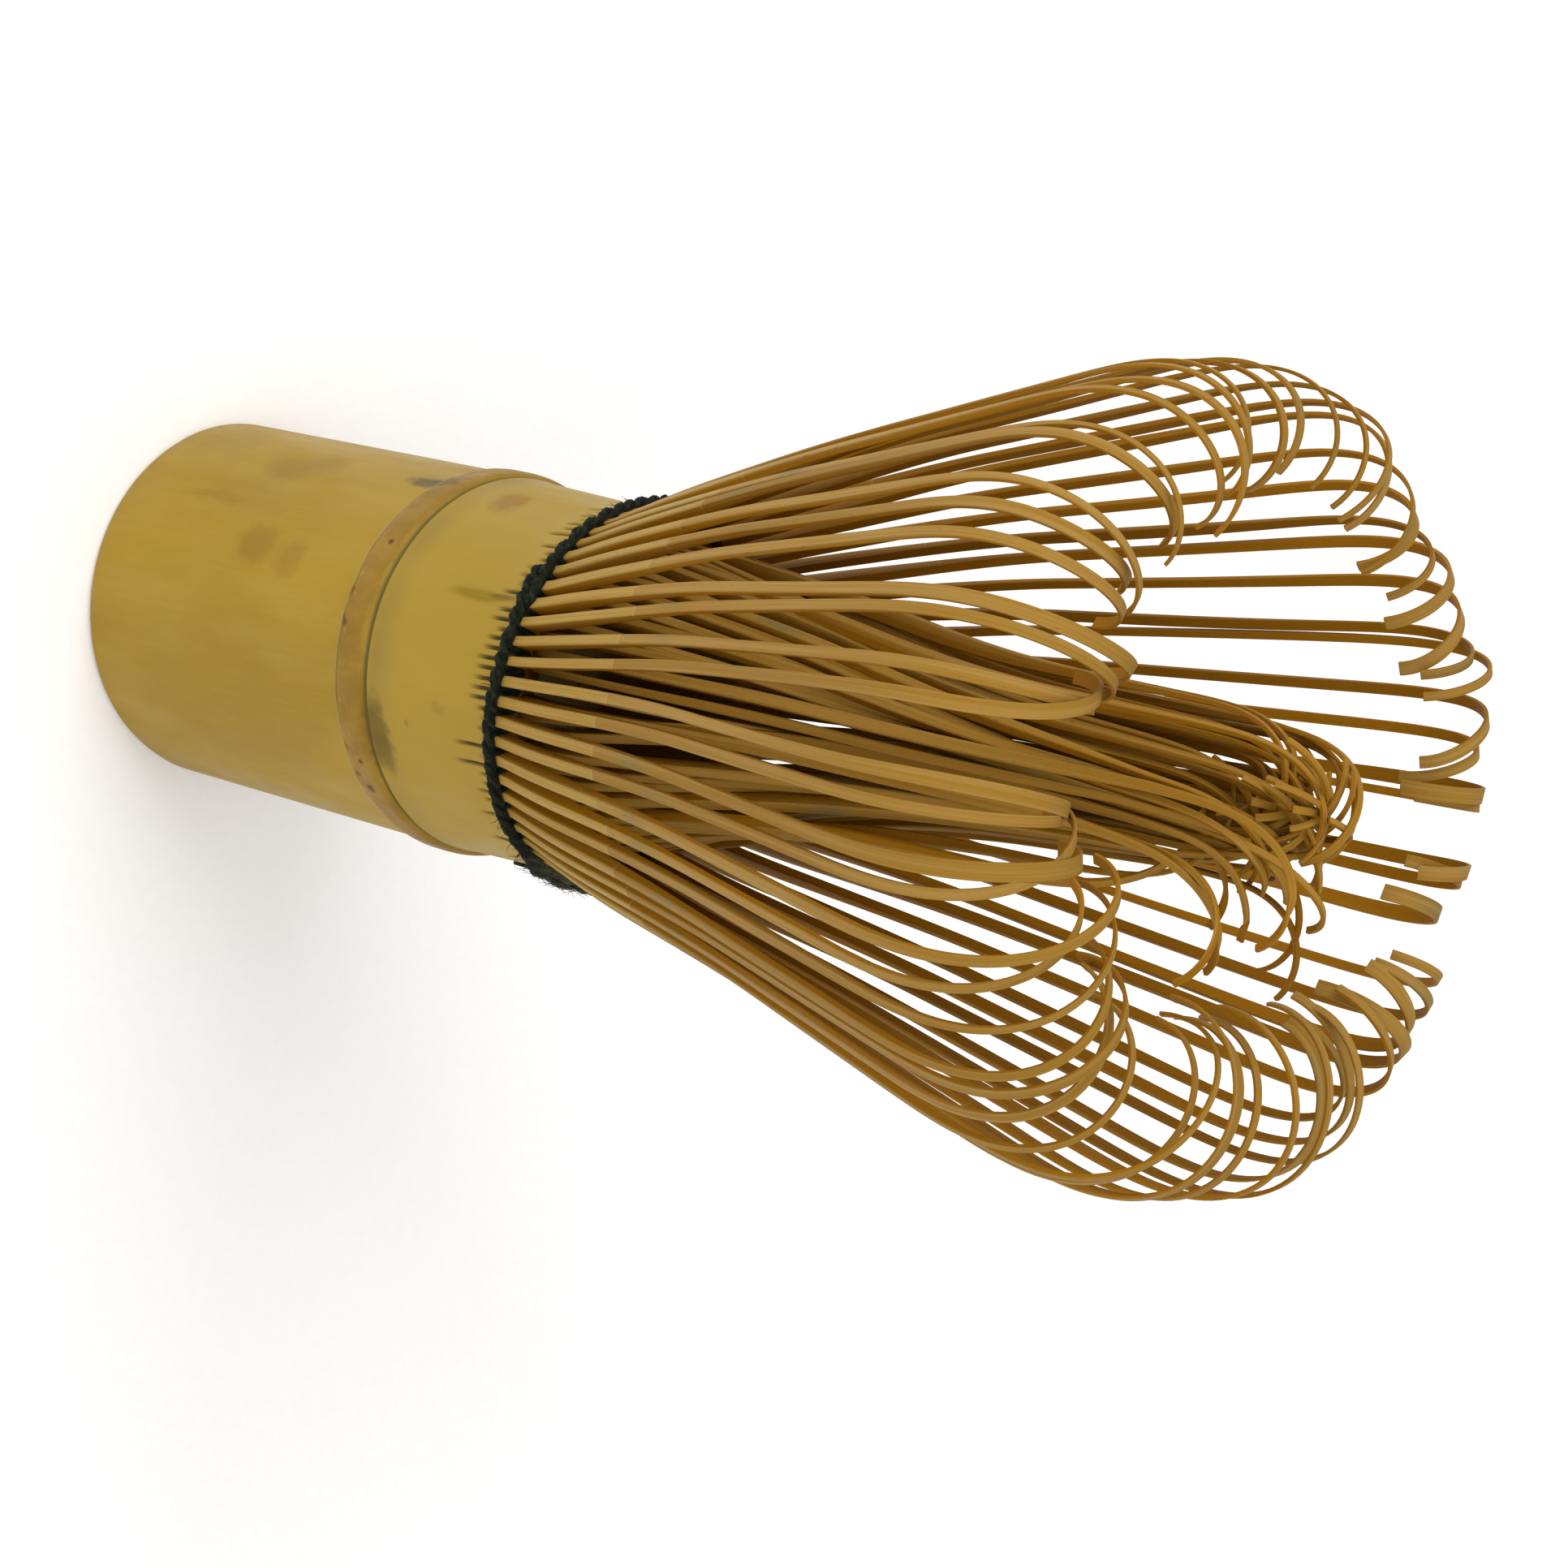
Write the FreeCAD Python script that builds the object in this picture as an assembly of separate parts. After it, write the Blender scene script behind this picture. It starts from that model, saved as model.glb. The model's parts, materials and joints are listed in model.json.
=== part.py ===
"""Bamboo tea whisk: a short culm whose upper end is split into springy tines.

Millimetres, +Z up.  The origin is the centre of the cut base, the culm's axis is Z, and the tines
point up.  Every tine lies in its own radial plane: its centre line is made of straight runs and
tangent arcs, starts upright at the root and is given its thickness and width around that line.
The outer tines flare into a bowl and hook inwards at the top, the inner tines close to a bundle.
"""

import FreeCAD, Part
import math
import os

# The culm: a hollow lower internode as handle, a node with its wall across, and a short collar
# above the node whose wall is split into the tines.
HANDLE_RADIUS = 14.0
HANDLE_WALL = 4.0
RIM_BEVEL = 0.7
NODE_WALL_BOTTOM = 29.5
NODE_WALL_THICKNESS = 3.0
NODE_RIDGE_HEIGHT = 31.2
NODE_RIDGE_RISE = 0.35
NODE_RIDGE_BAND = 2.6
NODE_GROOVE_DEPTH = 0.3
NODE_GROOVE_WIDTH = 0.5
COLLAR_TOP = 45.0
COLLAR_RADIUS = 13.1
COLLAR_WALL = 3.4

# The tines.
ROOT_GAP = 0.12
OUTER_GROUPS = 20
OUTER_PER_GROUP = 3
OUTER_WIDTH = 0.85
OUTER_THICKNESS = 0.45
ROOT_BEND_RADIUS = 8.0
BOWL_RADIUS = 26.1
SHOULDER_HEIGHT = 97.5
SHOULDER_RADIUS = 45.0
HOOK_RADIUS = 5.1
HOOK_RADIUS_SPREAD = 0.5
HOOK_TURN = 145.0
HOOK_TURN_SPREAD = 18.0

INNER_GROUPS = 12
INNER_PER_GROUP = 5
INNER_WIDTH = 0.45
INNER_THICKNESS = 0.35
INNER_ROOT_STEP = 1.9
INNER_TIP_HEIGHT = 105.0
INNER_LAYERS = 3
BUNDLE_RADIUS = 6.4
LAYER_STEP = 1.2

# The thread laced round the roots of the outer tines.
THREAD_RADIUS = 0.42
THREAD_CLEARANCE = 0.1
THREAD_RISE = 0.75
LACE_HEIGHT = 0.5
LAP_START = 226.0
LAP_SWEEP = 30.0
LAP_DROP = 0.62
KNOT_AZIMUTH = 348.0
KNOT_RADIUS = 0.75
KNOT_TAIL_LENGTH = 2.2
KNOT_TAIL_RADIUS = 0.32

ORIGIN = FreeCAD.Vector(0, 0, 0)
UP = FreeCAD.Vector(0, 0, 1)

OUTER_COUNT = OUTER_GROUPS * OUTER_PER_GROUP
INNER_COUNT = INNER_GROUPS * INNER_PER_GROUP
ROOT_BOTTOM = COLLAR_TOP + ROOT_GAP
THREAD_HEIGHT = ROOT_BOTTOM + THREAD_RISE
BEND_START = THREAD_HEIGHT + THREAD_RISE
OUTER_ROOT_RADIUS = COLLAR_RADIUS - OUTER_THICKNESS / 2
INNER_ROOT_RADIUS = OUTER_ROOT_RADIUS - INNER_ROOT_STEP
THREAD_RING_RADIUS = COLLAR_RADIUS + THREAD_CLEARANCE + THREAD_RADIUS
LACE_RING_RADIUS = (OUTER_ROOT_RADIUS + INNER_ROOT_RADIUS) / 2


def save(name, solids):
    """Write one node, a solid or a group of separate solids, as parts/NAME.step."""
    shape = solids[0] if len(solids) == 1 else Part.makeCompound(solids)
    shape.exportStep(os.path.join("parts", name + ".step"))


def at(radius, height):
    """A point of the radial plane at azimuth zero."""
    return FreeCAD.Vector(radius, 0, height)


def turned(shape, azimuth):
    """A copy of the shape turned round the culm's axis, in degrees."""
    copy = shape.copy()
    copy.rotate(ORIGIN, UP, azimuth)
    return copy


def wander(index, beat):
    """A fixed uneven value between -1 and 1 for each tine, so that no two neighbours match."""
    return math.sin(beat * (index + 1) * 2.4) * math.cos(beat * 0.7 * (index + 1))


def culm():
    """The culm, one turned solid: bevelled rim, node ridge, groove, tapering collar, two hollows."""
    bore = HANDLE_RADIUS - HANDLE_WALL
    cup = COLLAR_RADIUS - COLLAR_WALL
    node_wall_top = NODE_WALL_BOTTOM + NODE_WALL_THICKNESS
    half_band = NODE_RIDGE_BAND / 2
    half_groove = NODE_GROOVE_WIDTH / 2
    ridge = HANDLE_RADIUS + NODE_RIDGE_RISE
    groove_low = NODE_RIDGE_HEIGHT + half_band - half_groove
    groove_high = groove_low + NODE_GROOVE_WIDTH
    ridge_arc = Part.Arc(
        at(HANDLE_RADIUS, NODE_RIDGE_HEIGHT - half_band),
        at(ridge, NODE_RIDGE_HEIGHT),
        at(HANDLE_RADIUS, groove_low),
    )
    groove_arc = Part.Arc(
        at(HANDLE_RADIUS, groove_low),
        at(HANDLE_RADIUS - NODE_GROOVE_DEPTH, (groove_low + groove_high) / 2),
        at(HANDLE_RADIUS, groove_high),
    )
    lower = Part.makePolygon([
        at(HANDLE_RADIUS, NODE_RIDGE_HEIGHT - half_band),
        at(HANDLE_RADIUS, RIM_BEVEL),
        at(HANDLE_RADIUS - RIM_BEVEL, 0),
        at(bore, 0),
        at(bore, NODE_WALL_BOTTOM),
        at(0, NODE_WALL_BOTTOM),
        at(0, node_wall_top),
        at(cup, node_wall_top),
        at(cup, COLLAR_TOP),
        at(COLLAR_RADIUS, COLLAR_TOP),
        at(HANDLE_RADIUS, groove_high),
    ])
    edges = lower.Edges + [groove_arc.toShape(), ridge_arc.toShape()]
    outline = Part.Wire(Part.__sortEdges__(edges))
    return Part.Face(outline).revolve(ORIGIN, UP, 360)


def beside(spot, offset):
    """The point beside a centre-line spot (radius, height, lean), a positive offset lying outwards."""
    radius, height, lean = spot
    return at(radius + offset * math.cos(lean), height + offset * math.sin(lean))


def straight_run(spot, length):
    """The centre-line spots at both ends of a straight run."""
    radius, height, lean = spot
    return [spot, (radius - length * math.sin(lean), height + length * math.cos(lean), lean)]


def arc_run(spot, arc_radius, turn):
    """The centre-line spots at the start, middle and end of an arc; turn is in degrees."""
    radius, height, lean = spot
    lever = math.copysign(arc_radius, turn)
    centre_radius = radius - lever * math.cos(lean)
    centre_height = height - lever * math.sin(lean)
    leans = [lean + math.radians(turn) * share for share in (0, 0.5, 1)]
    return [(centre_radius + lever * math.cos(a), centre_height + lever * math.sin(a), a) for a in leans]


def strip(root_radius, runs, thickness, width):
    """A thin strip in the radial plane at azimuth zero, standing over the collar at root_radius.

    The centre line starts upright.  Each run is (length, 0) for a straight or (radius, turn) for an
    arc, where a positive turn, in degrees, leans towards the axis and a negative one leans outwards.
    """
    sides = {thickness / 2: [], -thickness / 2: []}
    spot = (root_radius, ROOT_BOTTOM, 0.0)
    ends = [Part.LineSegment(*[beside(spot, offset) for offset in sides])]
    for size, turn in runs:
        spots = arc_run(spot, size, turn) if turn else straight_run(spot, size)
        curve = Part.Arc if turn else Part.LineSegment
        for offset, curves in sides.items():
            curves.append(curve(*[beside(place, offset) for place in spots]))
        spot = spots[-1]
    ends.append(Part.LineSegment(*[beside(spot, offset) for offset in sides]))
    edges = [piece.toShape() for piece in sum(sides.values(), ends)]
    outline = Part.Wire(Part.__sortEdges__(edges))
    blade = Part.Face(outline).extrude(FreeCAD.Vector(0, width, 0))
    blade.translate(FreeCAD.Vector(0, -width / 2, 0))
    return blade


def tangent_lean(across, up, arc_radii):
    """The lean, in radians, of the straight that joins tangent arcs across a step sideways and up.

    The arcs start and end upright and their radii add up to arc_radii, so the lean solves
    up * sin(lean) + (arc_radii - across) * cos(lean) = arc_radii.
    """
    reach = math.hypot(up, arc_radii - across)
    return math.asin(arc_radii / reach) - math.atan2(arc_radii - across, up)


def outer_tine(index):
    """One outer tine: upright root, flare, shoulder at the bowl's widest and the inward hook."""
    across = BOWL_RADIUS - OUTER_THICKNESS / 2 - OUTER_ROOT_RADIUS
    up = SHOULDER_HEIGHT - BEND_START
    arc_radii = ROOT_BEND_RADIUS + SHOULDER_RADIUS
    lean = tangent_lean(across, up, arc_radii)
    straight = (up - arc_radii * math.sin(lean)) / math.cos(lean)
    hook_radius = HOOK_RADIUS + HOOK_RADIUS_SPREAD * wander(index, 1.0)
    hook_turn = HOOK_TURN + HOOK_TURN_SPREAD * wander(index, 1.7)
    runs = [
        (BEND_START - ROOT_BOTTOM, 0),
        (ROOT_BEND_RADIUS, -math.degrees(lean)),
        (straight, 0),
        (SHOULDER_RADIUS, math.degrees(lean)),
        (hook_radius, hook_turn),
    ]
    blade = strip(OUTER_ROOT_RADIUS, runs, OUTER_THICKNESS, OUTER_WIDTH)
    return turned(blade, (index + 0.5) * 360.0 / OUTER_COUNT)


def inner_tine(index):
    """One inner tine: upright root, then a straight lean to its layer of the closed bundle."""
    tip_radius = BUNDLE_RADIUS - INNER_THICKNESS / 2 - LAYER_STEP * (index % INNER_LAYERS)
    across = INNER_ROOT_RADIUS - tip_radius
    up = INNER_TIP_HEIGHT - BEND_START
    lean = tangent_lean(across, up, ROOT_BEND_RADIUS)
    straight = (up - ROOT_BEND_RADIUS * math.sin(lean)) / math.cos(lean)
    runs = [
        (BEND_START - ROOT_BOTTOM, 0),
        (ROOT_BEND_RADIUS, math.degrees(lean)),
        (straight, 0),
    ]
    blade = strip(INNER_ROOT_RADIUS, runs, INNER_THICKNESS, INNER_WIDTH)
    return turned(blade, (index + 0.5) * 360.0 / INNER_COUNT)


def binding_thread():
    """The thread: a ring outside the outer tines, one behind them, and a stitch through every gap."""
    height = FreeCAD.Vector(0, 0, THREAD_HEIGHT)
    ring = Part.makeTorus(THREAD_RING_RADIUS, THREAD_RADIUS, height, UP)
    lace_ring = Part.makeTorus(LACE_RING_RADIUS, THREAD_RADIUS, height, UP)
    pitch = 360.0 / OUTER_COUNT
    gap = 2 * (COLLAR_RADIUS - OUTER_THICKNESS) * math.sin(math.radians(pitch / 2)) - OUTER_WIDTH
    stitch_width = gap - 2 * THREAD_CLEARANCE
    corner = FreeCAD.Vector(LACE_RING_RADIUS, -stitch_width / 2, THREAD_HEIGHT - LACE_HEIGHT / 2)
    stitch = Part.makeBox(THREAD_RING_RADIUS - LACE_RING_RADIUS, stitch_width, LACE_HEIGHT, corner)
    stitches = [turned(stitch, number * pitch) for number in range(OUTER_COUNT)]
    lap_height = FreeCAD.Vector(0, 0, THREAD_HEIGHT - LAP_DROP)
    lap = Part.makeTorus(THREAD_RING_RADIUS, THREAD_RADIUS, lap_height, UP, 0, 360, LAP_SWEEP)
    return ring.multiFuse([lace_ring, turned(lap, LAP_START)] + stitches)


def thread_knot():
    """The knot that ends the lacing, with its cut tail, lying on the collar just below the ring."""
    height = THREAD_HEIGHT - THREAD_RADIUS - KNOT_RADIUS
    slope = (HANDLE_RADIUS - COLLAR_RADIUS) / (COLLAR_TOP - NODE_RIDGE_HEIGHT)
    skin = COLLAR_RADIUS + slope * (COLLAR_TOP - height + KNOT_RADIUS)
    centre = at(skin + KNOT_RADIUS, height)
    knot = Part.makeSphere(KNOT_RADIUS, centre)
    tail_foot = at(skin + KNOT_RADIUS, height - KNOT_TAIL_LENGTH)
    tail = Part.makeCylinder(KNOT_TAIL_RADIUS, KNOT_TAIL_LENGTH, tail_foot, UP)
    return turned(knot.fuse(tail), KNOT_AZIMUTH)


def main():
    os.makedirs("parts", exist_ok=True)
    save("handle_culm", [culm()])
    save("binding_thread", [binding_thread()])
    save("thread_knot", [thread_knot()])
    for group in range(OUTER_GROUPS):
        first = group * OUTER_PER_GROUP
        tines = [outer_tine(index) for index in range(first, first + OUTER_PER_GROUP)]
        save("outer_tines_%02d" % (group + 1), tines)
    for group in range(INNER_GROUPS):
        first = group * INNER_PER_GROUP
        tines = [inner_tine(index) for index in range(first, first + INNER_PER_GROUP)]
        save("inner_tines_%02d" % (group + 1), tines)


main()
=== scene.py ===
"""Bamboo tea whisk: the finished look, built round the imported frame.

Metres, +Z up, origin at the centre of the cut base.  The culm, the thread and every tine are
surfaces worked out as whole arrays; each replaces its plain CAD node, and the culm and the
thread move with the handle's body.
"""

import json
import math

import bpy
import numpy as np
from bpy.props import FloatProperty, FloatVectorProperty, IntProperty, PointerProperty
from mathutils import Matrix, Vector

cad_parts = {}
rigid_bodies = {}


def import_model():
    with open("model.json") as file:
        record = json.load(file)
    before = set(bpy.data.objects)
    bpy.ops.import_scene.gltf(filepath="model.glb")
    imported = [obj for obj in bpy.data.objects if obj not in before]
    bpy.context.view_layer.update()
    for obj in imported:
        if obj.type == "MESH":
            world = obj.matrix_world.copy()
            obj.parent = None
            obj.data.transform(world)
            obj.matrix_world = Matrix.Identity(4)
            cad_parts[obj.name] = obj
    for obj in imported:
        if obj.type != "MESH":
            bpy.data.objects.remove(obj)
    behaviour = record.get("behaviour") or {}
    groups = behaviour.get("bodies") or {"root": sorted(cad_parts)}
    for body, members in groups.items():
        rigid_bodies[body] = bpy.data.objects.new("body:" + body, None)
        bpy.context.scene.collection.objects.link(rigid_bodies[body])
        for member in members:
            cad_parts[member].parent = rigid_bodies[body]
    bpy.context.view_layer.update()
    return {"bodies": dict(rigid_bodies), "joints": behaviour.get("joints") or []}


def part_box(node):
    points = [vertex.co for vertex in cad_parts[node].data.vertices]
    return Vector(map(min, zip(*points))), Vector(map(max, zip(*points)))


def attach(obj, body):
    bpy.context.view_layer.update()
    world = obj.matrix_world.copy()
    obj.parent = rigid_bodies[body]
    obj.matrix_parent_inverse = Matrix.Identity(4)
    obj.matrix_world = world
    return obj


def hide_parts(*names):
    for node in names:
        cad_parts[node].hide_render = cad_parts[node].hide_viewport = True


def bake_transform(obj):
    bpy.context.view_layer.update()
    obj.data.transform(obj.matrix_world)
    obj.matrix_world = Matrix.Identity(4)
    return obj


bl_info = {
    "name": "Bamboo Tea Whisk",
    "version": (1, 0, 0),
    "blender": (4, 5, 0),
    "location": "View3D > Sidebar > Tea Whisk",
    "description": "Builds a bamboo tea whisk, its lacing and its tines round a packed frame",
    "category": "Add Mesh",
}

MM = 0.001
FULL_TURN = 2 * math.pi
HANDLE_BODY = "handle"

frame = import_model()
JOINTS = {joint["child"]: joint for joint in frame["joints"]}
OUTER_BODIES = sorted(name for name in frame["bodies"] if name.startswith("outer_tines"))
INNER_BODIES = sorted(name for name in frame["bodies"] if name.startswith("inner_tines"))
CULM_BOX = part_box("handle_culm")
KNOT_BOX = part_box("thread_knot")
COLLAR_TOP = CULM_BOX[1].z
HINGE_HEIGHT = JOINTS[OUTER_BODIES[0]]["pos_m"][2]
BOWL_RADIUS = max(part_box(name)[1].x for name in OUTER_BODIES)


# ---------------------------------------------------------------- settings

def length_setting(name, description, millimetres):
    return FloatProperty(name=name, description=description, default=millimetres * MM, unit="LENGTH")


def angle_setting(name, description, degrees):
    return FloatProperty(name=name, description=description, default=math.radians(degrees), subtype="ANGLE")


def colour_setting(name, description, default):
    return FloatVectorProperty(name=name, description=description, default=default, subtype="COLOR")


class WhiskCulmSettings(bpy.types.PropertyGroup):
    handle_radius: length_setting("Handle radius", "Outside radius of the lower internode", 14.0)
    collar_radius: length_setting("Collar radius", "Outside radius where the tines begin", 13.45)
    bore_radius: length_setting("Bore radius", "Radius of the hollow below the node wall", 10.0)
    cup_radius: length_setting("Cup radius", "Radius of the hollow above the node wall", 9.7)
    ridge_height: length_setting("Ridge height", "Height of the middle of the node ridge", 31.2)
    skin_colour: colour_setting("Skin", "Colour of the dried bamboo skin", (0.330, 0.203, 0.013))


class WhiskTineSettings(bpy.types.PropertyGroup):
    outer_per_group: IntProperty(
        name="Outer tines per group", description="Outer tines that bend together", default=3, min=1)
    inner_per_group: IntProperty(
        name="Inner tines per group", description="Inner tines that bend together", default=5, min=1)
    shoulder_height: length_setting("Shoulder height", "Where the outer tines turn in", 82.0)
    hook_radius: length_setting("Hook radius", "Radius of an outer tine's curled tip", 5.0)
    hook_turn: angle_setting("Hook turn", "How far past upright an outer tip curls", 158)
    bundle_radius: length_setting("Bundle radius", "Radius of the closed inner bundle", 4.6)
    bundle_height: length_setting("Bundle height", "Where the inner tines start to curl", 93.0)
    skin_colour: colour_setting("Outer skin", "Colour of the outer tines' skin face", (0.292, 0.174, 0.038))
    core_colour: colour_setting("Core", "Colour of the split sides and inner faces", (0.260, 0.110, 0.002))


class WhiskThreadSettings(bpy.types.PropertyGroup):
    ring_radius: length_setting("Ring radius", "Radius of the lacing round the outer tines", 14.0)
    strand_radius: length_setting("Strand radius", "Radius of one of the two strands", 0.29)
    slope: length_setting("Slope", "How much higher the lacing lies on its high side", 1.2)
    high_side: angle_setting("High side", "Direction in which the lacing lies highest", 190)
    colour: colour_setting("Thread", "Colour of the waxed thread", (0.0055, 0.0072, 0.0038))


class WhiskStageSettings(bpy.types.PropertyGroup):
    lens: FloatProperty(
        name="Lens", description="Focal length in millimetres on a 36 mm wide sensor", default=83.5)
    eye: FloatVectorProperty(
        name="Eye", description="Where the camera stands",
        default=(0.0, -0.1889, 0.2259), subtype="TRANSLATION", unit="LENGTH")
    aim: FloatVectorProperty(
        name="Aim", description="The point that the camera looks at",
        default=(0.00486, 0.0, 0.06145), subtype="TRANSLATION", unit="LENGTH")
    roll: angle_setting("Roll", "Turn of the camera about its line of sight", 101.8)


# ---------------------------------------------------------------- array helpers

TO_THE_RIGHT = np.array([1.0, 0, 0])
UP = np.array([0, 0, 1.0])


def smooth(value, start, end):
    """3t^2 - 2t^3 of how far value lies from start to end, held at 0 before and 1 after."""
    t = np.clip((value - start) / (end - start), 0, 1)
    return t * t * (3 - 2 * t)


def bump(value, middle, half_width):
    """A smooth hill: 1 at the middle, 0 from half_width away on either side."""
    return 1 - smooth(np.abs(value - middle), 0, half_width)


def around(azimuth, middle, half_width):
    """The same hill for directions, the short way round; middle and half_width are in degrees."""
    away = np.abs((azimuth - math.radians(middle) + math.pi) % FULL_TURN - math.pi)
    return 1 - smooth(away, 0, math.radians(half_width))


def crooked(points):
    """Points moved sideways by height, because the culm isn't quite straight.

    The shift along X rises evenly from the base to just below the lacing, and falls back smoothly
    along the first part of the tines.
    """
    height = points[..., 2]
    rising = 1.45 * np.clip(height / (42 * MM), 0, 1)
    shift = (rising - 0.6 - smooth(height, 43 * MM, 70 * MM)) * MM
    return points + shift[..., None] * TO_THE_RIGHT


def unit(vectors):
    """The vectors scaled to length one along their last axis."""
    return vectors / np.linalg.norm(vectors, axis=-1, keepdims=True)


def stacked(*parts):
    """The parts, stretched to one shape, as the last axis of one array."""
    return np.stack(np.broadcast_arrays(*parts), -1)


def polar(radius, azimuth, height):
    """Points at a distance and direction from the axis, at a height."""
    return stacked(radius * np.cos(azimuth), radius * np.sin(azimuth), height)


def tinted(colour, shares):
    """A colour with each of its parts multiplied by a share, and held at 1."""
    return tuple(min(part * share, 1.0) for part, share in zip(colour, shares))


def add_mesh(name, points, faces, material):
    """An object at the origin from an array of points and a list of faces, smooth shaded."""
    mesh = bpy.data.meshes.new(name)
    mesh.from_pydata(crooked(points.reshape(-1, 3)).tolist(), [], faces)
    mesh.polygons.foreach_set("use_smooth", np.ones(len(mesh.polygons), bool))
    mesh.materials.append(material)
    piece = bpy.data.objects.new(name, mesh)
    bpy.context.scene.collection.objects.link(piece)
    return piece


def point_values(piece, name, values):
    """One number per vertex, for the materials to read."""
    attribute = piece.data.attributes.new(name, "FLOAT", "POINT")
    attribute.data.foreach_set("value", np.ascontiguousarray(values, np.float32).ravel())


def point_vectors(piece, name, values):
    """Three numbers per vertex, for the materials to read."""
    attribute = piece.data.attributes.new(name, "FLOAT_VECTOR", "POINT")
    attribute.data.foreach_set("vector", np.ascontiguousarray(values, np.float32).ravel())


def tube_faces(strips, samples, ring, looped=False):
    """Quads round every strip of a (strips, samples, ring) grid, and a cap on each open end."""
    index = np.arange(strips * samples * ring).reshape(strips, samples, ring)
    near = index if looped else index[:, :-1]
    far = np.roll(index, -1, axis=1) if looped else index[:, 1:]
    quads = np.stack([near, np.roll(near, -1, axis=2), np.roll(far, -1, axis=2), far], axis=-1)
    faces = quads.reshape(-1, 4).tolist()
    if not looped:
        faces += index[:, 0, ::-1].tolist() + index[:, -1].tolist()
    return faces


def round_tube(name, path, radius, material, ring=7, looped=False):
    """Round strands of thread along (strips, samples, 3) paths, radius given per sample.

    The section is radius times (cos, sin) in the plane square to the path, measured from the
    direction that leans furthest away from the whisk's axis.
    """
    if looped:
        along = unit(np.roll(path, -1, 1) - np.roll(path, 1, 1))
    else:
        along = unit(np.gradient(path, axis=1))
    outward = path * [1, 1, 0] + [1e-6, 0, 0]
    side = unit(np.cross(along, outward))
    top = np.cross(side, along)
    turn = np.linspace(0, FULL_TURN, ring, endpoint=False)
    circle = np.cos(turn)[:, None] * top[..., None, :] + np.sin(turn)[:, None] * side[..., None, :]
    grid = path[..., None, :] + radius[..., None, None] * circle
    piece = add_mesh(name, grid, tube_faces(*grid.shape[:3], looped), material)
    steps = np.linalg.norm(np.diff(path, axis=1), axis=-1)
    length = np.concatenate([np.zeros((len(path), 1)), np.cumsum(steps, 1)], 1)
    girth = radius[..., None]
    point_vectors(piece, "grain", stacked(np.cos(turn) * girth, np.sin(turn) * girth, length[..., None]))
    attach(piece, HANDLE_BODY)
    return piece


# ---------------------------------------------------------------- materials

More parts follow.
